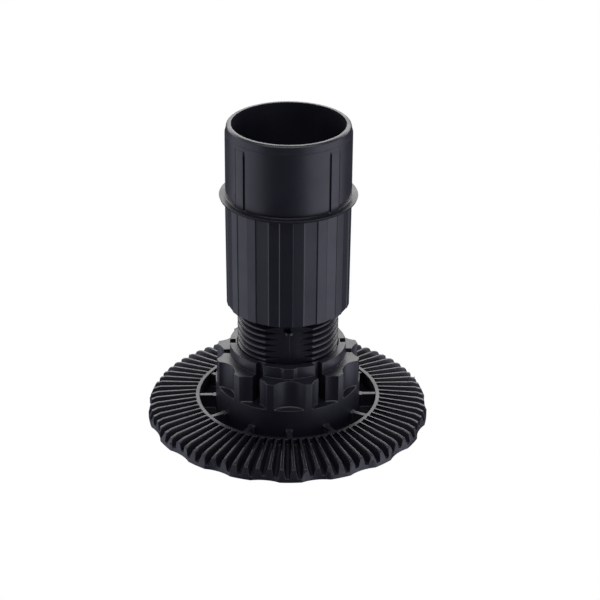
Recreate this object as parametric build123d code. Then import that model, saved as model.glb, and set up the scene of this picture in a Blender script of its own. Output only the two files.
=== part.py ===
from build123d import *
import os
from math import cos, pi, radians, sin, tan

# Adjustable cabinet leg: a toothed foot, a hollow threaded tube that stands in it,
# and a sleeve that runs up and down the tube and ends in a round spigot.
# Millimetres, Z up, origin in the middle of the foot's underside.
# The front is -Y. Angles round the axis are counted from the front towards +X.

# Threaded tube
thread_radius = 14.2
thread_root_radius = 12.85
thread_pitch = 1.88
thread_bottom = 21.5
thread_steps = 10
first_groove_z = 24.1
first_groove_angle = 50.0
flat_half_angle = 27.75
tube_inner_radius = 11.3
tube_top = 74.0
running_clearance = 0.05
seat_gap = 0.1

# Nub on the tube's front flat, and the small recess above it
nub_radius = 1.2
nub_bottom = 30.6
nub_height = 1.15
nub_edge = 0.3
nub_centre_inset = 0.25
window_width = 1.9
window_offset = -0.45
window_bottom = 31.75
window_height = 1.4
window_depth = 0.8

# Foot disc
disc_radius = 40.0
floor_thickness = 2.0
ring_inner_radius = 25.25
tooth_inner_radius = 26.35
ring_top = 5.6
crest_slope = 0.105
rim_rounding = 2.6
rim_rounding_steps = 2

# Lobes round the edge of the disc
lobe_count = 18
scoop_radius = 12.0
scoop_depth = 0.9

# Face gear on the disc
tooth_count = 75
first_crest_angle = -90.0
crest_inner_width = 0.65
crest_outer_width = 0.8
flank_angle = 15.5
gap_floor_inner_z = 3.92
gap_floor_slope = 0.2
gap_run_out = 2.0

# Pocket between hub and ring, with its spokes
hub_radius = 20.55
pocket_floor = 1.2
spoke_count = 12
spoke_width = 1.35
spoke_top = 5.2
spoke_head_width = 2.0
spoke_head_depth = 0.8
corner_pad_offset_angle = 2.7
corner_pad_length = 1.3
corner_pad_width = 1.4

# Grip on top of the hub
ledge_z = 11.15
grip_top = 19.15
scallop_count = 12
scallop_depth = 2.4
scallop_half_angle = 12.0
scallop_foot = 0.25
slot_count = 6
slot_width = 2.2

# Collar above the grip, with a raised pad in front
collar_radius = 16.45
collar_inner_radius = 14.4
collar_top = 22.45
collar_pad_top_width = 2.6
collar_pad_base_width = 4.0
collar_pad_rise = 0.55

# Sleeve moulding
sleeve_bottom = 35.4
sleeve_top = 88.4
sleeve_straight_top = 50.0
sleeve_growth = 1.012
nut_length = 16.0
sleeve_bore_radius = 15.55
sleeve_turn = -3.1

# Flat strips round the sleeve: raised wide ones, with narrower ones sunk between them
strip_count = 16
raised_apothem = 17.15
raised_half_angle = 5.9
sunk_apothem = 16.9
sunk_half_angle = 4.75

# Flange
flange_radius = 19.05
flange_top = 67.9
flange_thickness = 0.75

# Spigot
spigot_radius = 17.3
spigot_straight_top = 86.1
spigot_edge_step = 0.1
spigot_tip_radius = 16.8
spigot_pad_half_spread = 47.6
spigot_pad_angle = 10.5
spigot_pad_rise = 0.1
spigot_pad_top = 85.0
groove_angle = 1.9
groove_depth = 0.35
groove_point = 85.1
groove_point_height = 1.6
relief_half_angle = 53.0
relief_land = 0.2
relief_height = 1.1
relief_depth = 0.45
front_relief_height = 0.4

# How far cutters run past a face, and joined shapes into each other
cut_past = 1.0
overlap = 0.3


def flat_distance():
    return thread_radius * cos(radians(flat_half_angle))


def revolved(points):
    outline = make_face(Polyline(*points, close=True))
    return revolve(Plane.XZ * outline, Axis.Z)


def round_copies(shape, count, first=0.0):
    return [Rot(0, 0, first + k * 360.0 / count) * shape for k in range(count)]


def flat_sided(*outlines):
    # a solid with flat sides from each outline to the next, all with the same number of corners
    sides = []
    for lower, upper in zip(outlines, outlines[1:]):
        for k in range(len(lower)):
            sides.append((lower[k - 1], lower[k], upper[k], upper[k - 1]))
    flats = [outlines[0], outlines[-1], *sides]
    faces = [make_face(Polyline(*corners, close=True)).face() for corners in flats]
    return Solid(Shell(faces))


def ring_sector(inner, outer, bottom, top, angle, centre):
    points = [(inner, bottom), (outer, bottom), (outer, top), (inner, top)]
    outline = Plane.XZ * make_face(Polyline(*points, close=True))
    start = Rot(0, 0, centre - 90.0 - angle / 2)
    return start * revolve(outline, Axis.Z, revolution_arc=angle)


def lobed_disc(height):
    outline = Circle(disc_radius)
    step = 360.0 / lobe_count
    for k in range(lobe_count):
        turn = Rot(0, 0, -90.0 + step * (k + 0.5))
        outline -= turn * Pos(disc_radius + scoop_radius - scoop_depth, 0) * Circle(scoop_radius)
    return extrude(outline, height)


def crest_height(radius):
    return ring_top - crest_slope * (radius - tooth_inner_radius)


def crest_ring(apothem, z):
    # one straight side for each tooth
    step = 360.0 / tooth_count
    corner = apothem / cos(radians(step / 2))
    angles = [radians(first_crest_angle + (k + 0.5) * step) for k in range(tooth_count)]
    return [(corner * cos(angle), corner * sin(angle), z) for angle in angles]


def rim_blank():
    # the rounded edge goes down in a few flat steps, and the last is drawn on past the rim
    centre_radius = disc_radius - rim_rounding
    centre_z = crest_height(centre_radius) - rim_rounding
    rounding = []
    for k in range(rim_rounding_steps + 1):
        turn = radians(90.0 * k / rim_rounding_steps)
        radius = centre_radius + rim_rounding * sin(turn)
        rounding.append((radius, centre_z + rim_rounding * cos(turn)))
    (above_radius, above_z), (last_radius, last_z) = rounding[-2:]
    far_radius = 2 * last_radius - above_radius
    rounding[-1] = (far_radius, 2 * last_z - above_z)
    sections = [(far_radius, 0), *reversed(rounding), (tooth_inner_radius, ring_top)]
    blank = flat_sided(*[crest_ring(radius, z) for radius, z in sections])
    return blank & lobed_disc(ring_top)


def gap_section(radius, floor_z, crest_width):
    # a trapezoid with the teeth's flank angle, as wide at crest height as the crests leave it
    pitch = 2 * pi * radius / tooth_count
    spread = tan(radians(flank_angle))
    cutter_top = ring_top + cut_past
    half_top = (pitch - crest_width) / 2 + spread * (cutter_top - crest_height(radius))
    half_floor = half_top - spread * (cutter_top - floor_z)
    return [
        (-half_floor, -radius, floor_z),
        (half_floor, -radius, floor_z),
        (half_top, -radius, cutter_top),
        (-half_top, -radius, cutter_top),
    ]


def tooth_gap():
    outer_radius = disc_radius + gap_run_out
    outer_floor_z = gap_floor_inner_z - gap_floor_slope * (outer_radius - tooth_inner_radius)
    return flat_sided(
        gap_section(tooth_inner_radius, gap_floor_inner_z, crest_inner_width),
        gap_section(outer_radius, outer_floor_z, crest_outer_width),
    )


def hub_and_grip():
    return revolved([
        (0, 0),
        (hub_radius, 0),
        (hub_radius, grip_top),
        (collar_radius, grip_top),
        (collar_radius, collar_top),
        (0, collar_top),
    ])


def tube_socket():
    bore = thread_radius + running_clearance
    return revolved([
        (0, floor_thickness),
        (bore, floor_thickness),
        (bore, grip_top),
        (collar_inner_radius, grip_top),
        (collar_inner_radius, collar_top + cut_past),
        (0, collar_top + cut_past),
    ])


def scallop():
    # a round cutter, sloping in at its foot, so that a crescent ledge stays on the hub
    edge = hub_radius * sin(radians(scallop_half_angle))
    chord = hub_radius * cos(radians(scallop_half_angle))
    rise = chord - (hub_radius - scallop_depth)
    cutter_radius = (edge ** 2 + rise ** 2) / (2 * rise)
    cutter = revolved([
        (0, ledge_z),
        (cutter_radius - scallop_foot, ledge_z),
        (cutter_radius, ledge_z + scallop_foot),
        (cutter_radius, grip_top + cut_past),
        (0, grip_top + cut_past),
    ])
    return Pos(0, -(hub_radius - scallop_depth + cutter_radius), 0) * cutter


def grip_slot():
    length = hub_radius - tube_inner_radius + cut_past
    height = collar_top - ledge_z + cut_past
    middle = tube_inner_radius + length / 2
    return Pos(0, -middle, ledge_z + height / 2) * Box(slot_width, length, height)


def spoke():
    length = ring_inner_radius - hub_radius + 2 * overlap
    middle = (ring_inner_radius + hub_radius) / 2
    rib = Pos(0, -middle, spoke_top / 2) * Box(spoke_width, length, spoke_top)
    head_length = spoke_head_depth + overlap
    head_middle = hub_radius + spoke_head_depth - head_length / 2
    head = Box(spoke_head_width, head_length, spoke_top)
    return rib + Pos(0, -head_middle, spoke_top / 2) * head


def corner_pad():
    length = corner_pad_length + overlap
    middle = ring_inner_radius + overlap - length / 2
    return Pos(0, -middle, spoke_top / 2) * Box(corner_pad_width, length, spoke_top)


def collar_pad():
    inner = collar_radius - overlap
    slope = (collar_pad_base_width - collar_pad_top_width) / 2 / collar_pad_rise
    half_top = collar_pad_top_width / 2
    half_inner = collar_pad_base_width / 2 + slope * overlap
    outline = make_face(Polyline(
        (-half_inner, -inner),
        (-half_top, -collar_radius - collar_pad_rise),
        (half_top, -collar_radius - collar_pad_rise),
        (half_inner, -inner),
        close=True,
    ))
    return Pos(0, 0, grip_top - overlap) * extrude(outline, collar_top - grip_top + overlap)


def make_foot():
    foot = rim_blank()
    pocket_height = ring_top - pocket_floor + cut_past
    pocket = Pos(0, 0, pocket_floor + pocket_height / 2) * Cylinder(ring_inner_radius, pocket_height)
    foot -= pocket
    grip = hub_and_grip()
    grip -= round_copies(scallop(), scallop_count)
    grip -= round_copies(grip_slot(), slot_count, 360.0 / slot_count / 2)
    foot = foot + grip
    foot -= tube_socket()
    foot += round_copies(spoke(), spoke_count)
    spoke_step = 360.0 / spoke_count
    pads = [Rot(0, 0, side * (spoke_step - corner_pad_offset_angle)) * corner_pad() for side in (-1, 1)]
    foot += pads
    foot += collar_pad()
    tooth_step = 360.0 / tooth_count
    foot -= round_copies(tooth_gap(), tooth_count, first_crest_angle + tooth_step / 2)
    return foot


def thread_ring(radius, z):
    # half a ring on the side of +X, in flat steps, leaning as the helix rises
    rise = thread_pitch / (2 * pi * thread_root_radius)
    angles = [radians(-90.0 + 180.0 * k / thread_steps) for k in range(thread_steps + 1)]
    return [(radius * cos(a), radius * sin(a), z + rise * radius * sin(a)) for a in angles]


def thread_half():
    # roots and crests in turn, from one turn below the threaded stretch to one above it
    turns = int((tube_top - thread_bottom) / thread_pitch) + 3
    rings = []
    for k in range(turns):
        root_z = k * thread_pitch
        rings.append(thread_ring(thread_root_radius, root_z))
        rings.append(thread_ring(thread_radius, root_z + thread_pitch / 2))
    return flat_sided(*rings)


def threaded_stretch():
    # the flats leave two arcs of every turn, half a pitch apart
    height = tube_top - thread_bottom
    half_block = Box(2 * thread_radius, 2 * flat_distance(), height)
    half_block = Pos(thread_radius, 0, thread_bottom + height / 2) * half_block
    rise = (90.0 - first_groove_angle) / 360.0 * thread_pitch
    turns_below = int((first_groove_z + rise - thread_bottom) / thread_pitch) + 1
    first_root_z = first_groove_z + rise - turns_below * thread_pitch
    half = thread_half()
    right = Pos(0, 0, first_root_z) * half & half_block
    left = Pos(0, 0, first_root_z - thread_pitch / 2) * half & half_block
    return right + Rot(0, 0, 180.0) * left


def make_tube():
    bottom = floor_thickness + seat_gap
    half_size = flat_distance()
    plain_height = thread_bottom - bottom
    tube = Pos(0, 0, bottom + plain_height / 2) * Cylinder(thread_radius, plain_height)
    tube &= Pos(0, 0, bottom + plain_height / 2) * Box(4 * thread_radius, 2 * half_size, plain_height)
    tube += threaded_stretch()
    nub_middle = nub_bottom + nub_height / 2
    nub = Cylinder(nub_radius, nub_height)
    nub = chamfer(nub.edges().filter_by(GeomType.CIRCLE), nub_edge)
    tube += Pos(0, -half_size + nub_centre_inset, nub_middle) * nub
    height = tube_top - bottom
    tube -= Pos(0, 0, bottom + height / 2) * Cylinder(tube_inner_radius, height + 2 * cut_past)
    window = Box(window_width, 2 * window_depth, window_height)
    tube -= Pos(window_offset, -half_size, window_bottom + window_height / 2) * window
    return tube


def strip_outline(growth, z):
    # flat strips round the sleeve, raised and sunk in turn
    step = 360.0 / strip_count
    corners = []
    for k in range(strip_count):
        for apothem, half_angle, middle in (
            (raised_apothem, raised_half_angle, k * step),
            (sunk_apothem, sunk_half_angle, (k + 0.5) * step),
        ):
            corner = growth * apothem / cos(radians(half_angle))
            for angle in (middle - half_angle, middle + half_angle):
                turn = radians(angle - 90.0)
                corners.append((corner * cos(turn), corner * sin(turn), z))
    return corners


def sleeve_strips():
    return flat_sided(
        strip_outline(1.0, sleeve_bottom),
        strip_outline(1.0, sleeve_straight_top),
        strip_outline(sleeve_growth, flange_top - flange_thickness),
    )


def flange_and_spigot():
    return revolved([
        (0, flange_top - flange_thickness),
        (flange_radius, flange_top - flange_thickness),
        (flange_radius, flange_top),
        (spigot_radius, flange_top),
        (spigot_radius, spigot_straight_top),
        (spigot_radius - spigot_edge_step, spigot_straight_top + spigot_edge_step),
        (spigot_tip_radius, sleeve_top),
        (0, sleeve_top),
    ])


def sleeve_bore():
    nut_bore = thread_radius + running_clearance
    nut_top = sleeve_bottom + nut_length
    return revolved([
        (0, sleeve_bottom - cut_past),
        (nut_bore, sleeve_bottom - cut_past),
        (nut_bore, nut_top),
        (sleeve_bore_radius, nut_top),
        (sleeve_bore_radius, sleeve_top + cut_past),
        (0, sleeve_top + cut_past),
    ])


def spigot_pad(side):
    outer = spigot_radius + spigot_pad_rise
    inner = spigot_radius - cut_past
    outline = Plane.XZ * make_face(Polyline(
        (inner, flange_top - overlap),
        (outer, flange_top - overlap),
        (outer, spigot_pad_top),
        (spigot_radius, spigot_pad_top + spigot_pad_rise),
        (inner, spigot_pad_top + spigot_pad_rise),
        close=True,
    ))
    start = Rot(0, 0, side * spigot_pad_half_spread - 90.0 - spigot_pad_angle / 2)
    return start * revolve(outline, Axis.Z, revolution_arc=spigot_pad_angle)


def spigot_groove(side):
    centre = side * (spigot_pad_half_spread - spigot_pad_angle / 2 - groove_angle / 2)
    half_width = spigot_radius * sin(radians(groove_angle / 2))
    groove_bottom = flange_top + relief_land
    arrow = make_face(Polyline(
        (-half_width, groove_bottom),
        (half_width, groove_bottom),
        (half_width, groove_point - groove_point_height),
        (0, groove_point),
        (-half_width, groove_point - groove_point_height),
        close=True,
    ))
    floor = spigot_radius - groove_depth
    plane = Plane(origin=(0, -floor, 0), x_dir=(1, 0, 0), z_dir=(0, -1, 0))
    return Rot(0, 0, centre) * extrude(plane * arrow, groove_depth + cut_past)


def base_relief(bottom, top, angle, middle):
    return ring_sector(spigot_radius - relief_depth, flange_radius + cut_past, bottom, top, angle, middle)


def make_sleeve():
    sleeve = sleeve_strips() + flange_and_spigot()
    sleeve -= sleeve_bore()
    side_angle = 180.0 - 2 * relief_half_angle
    front_angle = 2 * (spigot_pad_half_spread - spigot_pad_angle / 2 - groove_angle / 2)
    bottom = flange_top + relief_land
    cutters = []
    for middle in (-90.0, 90.0):
        cutters.append(base_relief(bottom, bottom + relief_height, side_angle, middle))
    for middle in (0.0, 180.0):
        cutters.append(base_relief(bottom, bottom + front_relief_height, front_angle, middle))
    for turn in (0.0, 180.0):
        for side in (-1, 1):
            cutters.append(Rot(0, 0, turn) * spigot_groove(side))
    sleeve -= cutters
    pads = [Rot(0, 0, turn) * spigot_pad(side) for turn in (0.0, 180.0) for side in (-1, 1)]
    sleeve += pads
    return Rot(0, 0, sleeve_turn) * sleeve


os.makedirs("parts", exist_ok=True)
export_step(make_foot(), "parts/foot.step")
export_step(make_tube(), "parts/threaded_tube.step")
export_step(make_sleeve(), "parts/sleeve.step")
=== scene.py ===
from math import cos, pi, radians, sin

import bmesh
import bpy
from mathutils import Matrix, Vector


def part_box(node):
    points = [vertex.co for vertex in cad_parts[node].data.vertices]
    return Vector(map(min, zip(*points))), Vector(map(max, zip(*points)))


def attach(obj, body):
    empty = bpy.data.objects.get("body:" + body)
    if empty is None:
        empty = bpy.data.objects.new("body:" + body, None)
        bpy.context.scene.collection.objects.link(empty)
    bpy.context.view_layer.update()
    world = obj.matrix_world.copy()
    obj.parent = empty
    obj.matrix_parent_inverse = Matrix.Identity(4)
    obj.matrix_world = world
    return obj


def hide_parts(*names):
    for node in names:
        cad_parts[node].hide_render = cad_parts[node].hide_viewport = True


# Adjustable cabinet leg in black plastic, standing on its toothed foot.
# The foot is the CAD node, with a thin wall added behind its slots. The tube gets
# its real thread here. The sleeve is a copy of its node, with the strips round it
# changed and its rim rounded.

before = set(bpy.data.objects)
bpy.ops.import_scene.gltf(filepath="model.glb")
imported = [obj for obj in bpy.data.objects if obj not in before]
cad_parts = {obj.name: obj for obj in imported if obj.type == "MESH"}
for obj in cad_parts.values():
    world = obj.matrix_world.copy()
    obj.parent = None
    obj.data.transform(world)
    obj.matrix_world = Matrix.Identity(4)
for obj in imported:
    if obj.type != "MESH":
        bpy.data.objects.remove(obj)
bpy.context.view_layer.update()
mm = 0.001
sameSpot = 0.0001 * mm      # vertices closer than this are one
print("frame loaded")


# Small helpers

def linearColor(hexValue):
    channels = [int(hexValue[i:i + 2], 16) / 255 for i in (1, 3, 5)]
    return [c / 12.92 if c <= 0.04045 else ((c + 0.055) / 1.055) ** 2.4 for c in channels] + [1.0]


def addNode(material, kind, settings=None, links=None):
    node = material.node_tree.nodes.new(kind)
    for name, value in (settings or {}).items():
        if hasattr(node, name):
            setattr(node, name, value)
        else:
            node.inputs[name].default_value = value
    for name, source in (links or {}).items():
        material.node_tree.links.new(source, node.inputs[name])
    return node


def pieceFromMesh(bm, name):
    bmesh.ops.remove_doubles(bm, verts=bm.verts, dist=sameSpot)
    bmesh.ops.recalc_face_normals(bm, faces=bm.faces)
    mesh = bpy.data.meshes.new(name)
    bm.to_mesh(mesh)
    bm.free()
    piece = bpy.data.objects.new(name, mesh)
    bpy.context.scene.collection.objects.link(piece)
    return piece


def smooth(piece, sharperThan=20.0):
    # round faces shade smoothly, and edges sharper than this many degrees stay crisp
    piece.data.shade_smooth()
    piece.data.set_sharp_from_angle(angle=radians(sharperThan))


def dress(piece, material):
    piece.data.materials.clear()
    piece.data.materials.append(material)


# Black ABS

blackAbs = {
    "color": "#10111a",
    "roughness": 0.42,
    "roughnessSpread": 0.04,
    "ior": 1.53,
    "patchSize": 7.0 * mm,      # broad, faint changes of gloss from the mould
    "patchDetail": 3.0,
    "grainSize": 0.35 * mm,     # eroded mould skin, drawn coarser than real so that it shows
    "grainDetail": 2.0,
    "grainHeight": 0.002 * mm,
}


def mouldedBlackAbs(name, spec):
    # ABS moulded in a finely eroded tool: satin, a cool and nearly neutral black
    material = bpy.data.materials.new(name)
    material.use_nodes = True
    material.node_tree.nodes.clear()
    where = addNode(material, "ShaderNodeTexCoord").outputs["Object"]
    patches = addNode(
        material, "ShaderNodeTexNoise",
        {"Scale": 1 / spec["patchSize"], "Detail": spec["patchDetail"], "Roughness": 0.55},
        {"Vector": where},
    )
    gloss = addNode(
        material, "ShaderNodeMapRange",
        {
            "To Min": spec["roughness"] - spec["roughnessSpread"],
            "To Max": spec["roughness"] + spec["roughnessSpread"],
            "From Min": 0.3,
            "From Max": 0.7,
        },
        {"Value": patches.outputs["Fac"]},
    )
    grain = addNode(
        material, "ShaderNodeTexNoise",
        {"Scale": 1 / spec["grainSize"], "Detail": spec["grainDetail"], "Roughness": 0.6},
        {"Vector": where},
    )
    bump = addNode(
        material, "ShaderNodeBump",
        {"Strength": 1.0, "Distance": spec["grainHeight"]},
        {"Height": grain.outputs["Fac"]},
    )
    shader = addNode(
        material, "ShaderNodeBsdfPrincipled",
        {"Base Color": linearColor(spec["color"]), "IOR": spec["ior"]},
        {"Roughness": gloss.outputs["Result"], "Normal": bump.outputs["Normal"]},
    )
    addNode(material, "ShaderNodeOutputMaterial", None, {"Surface": shader.outputs["BSDF"]})
    return material


footPlastic = mouldedBlackAbs("footAbs", blackAbs)
tubePlastic = mouldedBlackAbs("tubeAbs", blackAbs)
sleevePlastic = mouldedBlackAbs("sleeveAbs", blackAbs)
dress(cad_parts["foot"], footPlastic)
print("plastic ready")


# Sleeve: in the CAD shape the wide strips are raised and the narrow ones sunk.
# On the real sleeve it is the other way round, and the rim of its spigot is rounded.

sleeve = {
    "weld": 0.003 * mm,
    "top": 67.15 * mm,          # underside of the flange
    "topTolerance": 0.01 * mm,
    "straightTop": 50.0 * mm,
    "growth": 0.012,            # how much wider the strips are at the top
    "within": 16.5 * mm,        # corners nearer the axis aren't on a strip
    "wideCorner": 17.1 * mm,    # CAD corners farther out are on a wide strip
    "sunkShare": 16.9 / 17.15,
    "rimRadius": 16.8 * mm,
    "rimRounding": 0.65 * mm,   # outer edge of the spigot's top
    "rimSteps": 5,
    "rimTolerance": 0.03 * mm,
}


def flutedSleeve(spec):
    bm = bmesh.new()
    bm.from_mesh(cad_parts["sleeve"].data)
    bmesh.ops.remove_doubles(bm, verts=bm.verts, dist=spec["weld"])
    for vert in bm.verts:
        radius = vert.co.xy.length
        if vert.co.z > spec["top"] + spec["topTolerance"] or radius < spec["within"]:
            continue
        above = max(0.0, vert.co.z - spec["straightTop"]) / (spec["top"] - spec["straightTop"])
        wide = radius > spec["wideCorner"] * (1 + spec["growth"] * above)
        share = spec["sunkShare"] if wide else 1 / spec["sunkShare"]
        vert.co.x *= share
        vert.co.y *= share
    near = spec["rimTolerance"]
    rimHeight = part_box("sleeve")[1][2]
    onRim = {
        vert for vert in bm.verts
        if abs(vert.co.z - rimHeight) < near and abs(vert.co.xy.length - spec["rimRadius"]) < near
    }
    rim = [edge for edge in bm.edges if set(edge.verts) <= onRim]
    bmesh.ops.bevel(
        bm, geom=rim, offset=spec["rimRounding"], segments=spec["rimSteps"], profile=0.5,
        affect="EDGES", clamp_overlap=True, material=-1,
    )
    return pieceFromMesh(bm, "flutedSleeve")


sleevePiece = flutedSleeve(sleeve)
dress(sleevePiece, sleevePlastic)
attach(sleevePiece, "sleeve")
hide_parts("sleeve")
print("sleeve ready")


# Moulded edges of foot and sleeve, which catch the light

mouldedEdge = {
    "width": 0.13 * mm,
    "segments": 2,
    "sharperThan": 28.0,
    "flatWithin": 1.0,
    "weld": 0.003 * mm,
    "faceWeight": 50,
}


def softenEdges(piece, spec):
    weld = piece.modifiers.new("weld", "WELD")
    weld.merge_threshold = spec["weld"]
    flat = piece.modifiers.new("flat", "DECIMATE")
    flat.decimate_type = "DISSOLVE"
    flat.angle_limit = radians(spec["flatWithin"])
    edges = piece.modifiers.new("edges", "BEVEL")
    edges.width = spec["width"]
    edges.segments = spec["segments"]
    edges.limit_method = "ANGLE"
    edges.angle_limit = radians(spec["sharperThan"])
    edges.use_clamp_overlap = False
    shading = piece.modifiers.new("shading", "WEIGHTED_NORMAL")
    shading.weight = spec["faceWeight"]
    shading.keep_sharp = False


for piece in (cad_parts["foot"], sleevePiece):
    softenEdges(piece, mouldedEdge)
print("edges softened")


# Wall between the slots of the grip and the tube, which the CAD slots cut through

socketWall = {
    "innerRadius": 14.43 * mm,
    "outerRadius": 14.8 * mm,
    "bottom": 11.0 * mm,
    "top": 22.43 * mm,
    "chamfer": 0.08 * mm,
    "steps": 120,
}


def wallBehindSlots(spec):
    bm = bmesh.new()
    inner, outer, chamfer = spec["innerRadius"], spec["outerRadius"], spec["chamfer"]
    profile = [
        (inner, spec["bottom"]),
        (outer, spec["bottom"]),
        (outer, spec["top"] - chamfer),
        (outer - chamfer, spec["top"]),
        (inner, spec["top"]),
    ]
    verts = [bm.verts.new((radius, 0, height)) for radius, height in profile]
    edges = [bm.edges.new(pair) for pair in zip(verts, verts[1:] + verts[:1])]
    bmesh.ops.spin(
        bm, geom=verts + edges, cent=(0, 0, 0), axis=(0, 0, 1),
        angle=2 * pi, steps=spec["steps"], use_merge=True,
    )
    return pieceFromMesh(bm, "socketWall")


wallPiece = wallBehindSlots(socketWall)
smooth(wallPiece)
dress(wallPiece, footPlastic)
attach(wallPiece, "foot")
print("slots closed")


# Threaded tube

tube = {
    "crestRadius": 14.2 * mm,
    "rootRadius": 12.85 * mm,
    "boreRadius": 11.3 * mm,
    "boreSegments": 96,
    "pitch": 1.88 * mm,
    "crestShare": 0.32,         # share of the pitch between the flanks at the crest
    "rootShare": 0.08,
    "crestChamfer": 0.16 * mm,
    "flatHalfAngle": 27.75,
    "firstGrooveZ": 24.1 * mm,  # middle of a groove at the angle below
    "firstGrooveAngle": 50.0,
    "stepsPerTurn": 180,
    "weld": 0.002 * mm,
}
nub = {
    "radius": 1.2 * mm,
    "segments": 32,
    "inset": 0.25 * mm,         # how far its axis lies behind the flat
    "bottom": 30.6 * mm,
    "height": 1.15 * mm,
    "rounding": 0.3 * mm,
    "roundingSteps": 4,
}
window = {
    "width": 1.9 * mm,
    "offset": -0.54 * mm,
    "bottom": 31.75 * mm,
    "height": 1.4 * mm,
    "depth": 0.8 * mm,
}
partingLine = {
    "offset": 0.19 * mm,
    "width": 0.16 * mm,
    "height": 0.025 * mm,
    "sunk": 0.02 * mm,
    "bottom": 20.0 * mm,
    "top": nub["bottom"] + nub["rounding"],
}


def threadedTube(spec):
    low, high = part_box("threaded_tube")
    bottom, top = low[2], high[2]
    pitch = spec["pitch"]
    root, crest = spec["rootRadius"], spec["crestRadius"]
    halfRoot = pitch * spec["rootShare"] / 2
    halfCrest = pitch * spec["crestShare"] / 2
    chamfer = spec["crestChamfer"]
    flankSlope = (pitch / 2 - halfCrest - halfRoot) / (crest - root)
    outer = halfCrest + chamfer * flankSlope
    inner = halfCrest - chamfer * (1 - flankSlope)
    bm = bmesh.new()
    # one groove and one crest, on the side where the first groove was seen
    startAngle = radians(spec["firstGrooveAngle"] - 90)
    turnsBelow = int((spec["firstGrooveZ"] - bottom) / pitch) + 3
    startZ = spec["firstGrooveZ"] - turnsBelow * pitch
    profile = [
        (root, -halfRoot),
        (root, halfRoot),
        (crest - chamfer, pitch / 2 - outer),
        (crest, pitch / 2 - inner),
        (crest, pitch / 2 + inner),
        (crest - chamfer, pitch / 2 + outer),
        (root, pitch - halfRoot),
    ]
    verts = []
    for radius, height in profile:
        place = (radius * cos(startAngle), radius * sin(startAngle), startZ + height)
        verts.append(bm.verts.new(place))
    edges = [bm.edges.new(pair) for pair in zip(verts, verts[1:])]
    steps = spec["stepsPerTurn"]
    bmesh.ops.spin(
        bm, geom=verts + edges, cent=(0, 0, 0), axis=(0, 0, 1), dvec=(0, 0, pitch / steps),
        angle=2 * pi, steps=steps, use_merge=False,
    )
    # one turn, doubled until it reaches past the top
    turns = 1
    while startZ + turns * pitch < top + pitch:
        again = bmesh.ops.duplicate(bm, geom=bm.verts[:] + bm.edges[:] + bm.faces[:])
        copied = [g for g in again["geom"] if isinstance(g, bmesh.types.BMVert)]
        bmesh.ops.translate(bm, verts=copied, vec=(0, 0, turns * pitch))
        turns *= 2
    bmesh.ops.remove_doubles(bm, verts=bm.verts, dist=spec["weld"])
    # square ends and the two flats, each closed with one face
    flatDistance = crest * cos(radians(spec["flatHalfAngle"]))
    cuts = [
        ((0, 0, bottom), (0, 0, -1)),
        ((0, 0, top), (0, 0, 1)),
        ((0, -flatDistance, 0), (0, -1, 0)),
        ((0, flatDistance, 0), (0, 1, 0)),
    ]
    for point, outward in cuts:
        geom = bm.verts[:] + bm.edges[:] + bm.faces[:]
        cut = bmesh.ops.bisect_plane(
            bm, geom=geom, dist=sameSpot, clear_outer=True, plane_co=point, plane_no=outward,
        )
        rim = [g for g in cut["geom_cut"] if isinstance(g, bmesh.types.BMEdge)]
        bmesh.ops.contextual_create(bm, geom=rim)
    return pieceFromMesh(bm, "threadedTube"), flatDistance


def cutBoreAndWindow(piece, bore, spec, flatDistance):
    low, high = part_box("threaded_tube")
    bm = bmesh.new()
    bmesh.ops.create_cone(
        bm, cap_ends=True, segments=bore["boreSegments"], radius1=bore["boreRadius"],
        radius2=bore["boreRadius"], depth=2 * (high[2] - low[2]),
        matrix=Matrix.Translation((0, 0, (low[2] + high[2]) / 2)),
    )
    box = bmesh.ops.create_cube(bm, size=1.0)
    size = (spec["width"], 2 * spec["depth"], spec["height"])
    bmesh.ops.scale(bm, verts=box["verts"], vec=size)
    middle = (spec["offset"], -flatDistance, spec["bottom"] + spec["height"] / 2)
    bmesh.ops.translate(bm, verts=box["verts"], vec=middle)
    cutter = pieceFromMesh(bm, "boreAndWindow")
    boolean = piece.modifiers.new("bore", "BOOLEAN")
    boolean.operation = "DIFFERENCE"
    boolean.solver = "EXACT"
    boolean.object = cutter
    graph = bpy.context.evaluated_depsgraph_get()
    cutMesh = bpy.data.meshes.new_from_object(piece.evaluated_get(graph))
    piece.modifiers.clear()
    piece.data = cutMesh
    bpy.data.objects.remove(cutter)


def frontNub(spec, flatDistance):
    bm = bmesh.new()
    bmesh.ops.create_cone(
        bm, cap_ends=True, segments=spec["segments"],
        radius1=spec["radius"], radius2=spec["radius"], depth=spec["height"],
    )
    rims = [e for e in bm.edges if abs(e.verts[0].co.z - e.verts[1].co.z) < sameSpot]
    bmesh.ops.bevel(
        bm, geom=rims, offset=spec["rounding"], segments=spec["roundingSteps"], profile=0.5,
        affect="EDGES", material=-1,
    )
    middle = spec["bottom"] + spec["height"] / 2
    bmesh.ops.translate(bm, verts=bm.verts, vec=(0, -flatDistance + spec["inset"], middle))
    return pieceFromMesh(bm, "frontNub")


def lineBelowNub(spec, flatDistance):
    # a low ridge on the front flat, where the halves of the mould met
    bm = bmesh.new()
    profile = [
        (spec["offset"] - spec["width"] / 2, -flatDistance + spec["sunk"]),
        (spec["offset"], -flatDistance - spec["height"]),
        (spec["offset"] + spec["width"] / 2, -flatDistance + spec["sunk"]),
    ]
    face = bm.faces.new([bm.verts.new((x, y, spec["bottom"])) for x, y in profile])
    raised = bmesh.ops.extrude_face_region(bm, geom=[face])
    verts = [g for g in raised["geom"] if isinstance(g, bmesh.types.BMVert)]
    bmesh.ops.translate(bm, verts=verts, vec=(0, 0, spec["top"] - spec["bottom"]))
    return pieceFromMesh(bm, "partingLine")


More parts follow.
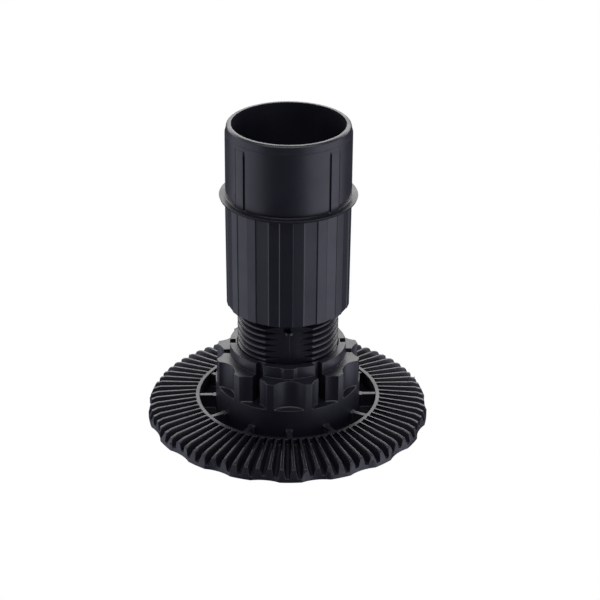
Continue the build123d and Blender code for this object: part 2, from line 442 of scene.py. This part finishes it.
threadPiece, flatDistance = threadedTube(tube)
cutBoreAndWindow(threadPiece, tube, window, flatDistance)
nubPiece = frontNub(nub, flatDistance)
linePiece = lineBelowNub(partingLine, flatDistance)
for piece in (threadPiece, nubPiece, linePiece):
    smooth(piece)
    dress(piece, tubePlastic)
    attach(piece, "tube")
    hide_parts("threaded_tube")
print("thread cut", len(threadPiece.data.polygons))


# Floor, light and camera

studio = {
    "floorSize": 6.0,
    "floorHeight": -0.02 * mm,  # just clear of the foot's underside
    "floorColor": "#bcbcbc",
    "worldColor": "#dfe4ff",
    "worldStrength": 0.09,
}


def paleFloor(spec):
    bm = bmesh.new()
    bmesh.ops.create_grid(
        bm, x_segments=1, y_segments=1, size=spec["floorSize"] / 2,
        matrix=Matrix.Translation((0, 0, spec["floorHeight"])),
    )
    floor = pieceFromMesh(bm, "floor")
    material = bpy.data.materials.new("paleFloor")
    material.use_nodes = True
    material.node_tree.nodes.clear()
    matte = addNode(material, "ShaderNodeBsdfDiffuse", {"Color": linearColor(spec["floorColor"])})
    white = addNode(material, "ShaderNodeEmission", {"Color": (1, 1, 1, 1), "Strength": 1.0})
    seen = addNode(material, "ShaderNodeLightPath").outputs["Is Camera Ray"]
    both = addNode(
        material, "ShaderNodeMixShader", None,
        {0: seen, 1: matte.outputs[0], 2: white.outputs[0]},
    )
    addNode(material, "ShaderNodeOutputMaterial", None, {"Surface": both.outputs[0]})
    dress(floor, material)
    floor.visible_glossy = False
    floor.visible_shadow = False


paleFloor(studio)

world = bpy.data.worlds.new("studio")
bpy.context.scene.world = world
world.use_nodes = True
sky = world.node_tree.nodes["Background"]
sky.inputs["Color"].default_value = linearColor(studio["worldColor"])
sky.inputs["Strength"].default_value = studio["worldStrength"]

aimPoint = Vector((0, 0, 0.04))     # middle of the leg, which every softbox faces
softboxes = {
    "backTop": {"place": (0.0, 1.15, 0.62), "size": (4.2, 0.6), "watts": 35.0, "color": "#ffffff"},
    "overhead": {"place": (0.0, -0.5, 1.1), "size": (2.2, 0.6), "watts": 13.0, "color": "#ffffff"},
    "left": {"place": (-1.05, -0.05, -0.15), "size": (1.5, 1.3), "watts": 6.8, "color": "#eaebff"},
    "right": {"place": (1.0, -0.4, -0.15), "size": (1.6, 1.3), "watts": 10.5, "color": "#eaebff"},
}
for name, spec in softboxes.items():
    light = bpy.data.lights.new(name, "AREA")
    light.shape = "RECTANGLE"
    light.size, light.size_y = spec["size"]
    light.energy = spec["watts"]
    light.color = linearColor(spec["color"])[:3]
    box = bpy.data.objects.new(name, light)
    box.location = spec["place"]
    aim = aimPoint - Vector(spec["place"])
    box.rotation_euler = aim.to_track_quat("-Z", "Y").to_euler()
    bpy.context.scene.collection.objects.link(box)

view = {
    "lens": 116.43,
    "sensorWidth": 36.0,
    "clipStart": 10.0 * mm,
    "place": (3.353 * mm, -485.8 * mm, 279.94 * mm),
    "down": 26.73,
    "roll": 0.45,
    "round": -1.8,
}
cameraData = bpy.data.cameras.new("camera")
cameraData.lens = view["lens"]
cameraData.sensor_width = view["sensorWidth"]
cameraData.clip_start = view["clipStart"]
camera = bpy.data.objects.new("camera", cameraData)
camera.matrix_world = (
    Matrix.Rotation(radians(view["round"]), 4, "Z")
    @ Matrix.Translation(view["place"])
    @ Matrix.Rotation(radians(90 - view["down"]), 4, "X")
    @ Matrix.Rotation(radians(view["roll"]), 4, "Z")
)
bpy.context.scene.collection.objects.link(camera)
bpy.context.scene.camera = camera
bpy.context.scene.view_settings.view_transform = "Standard"
print("studio ready")
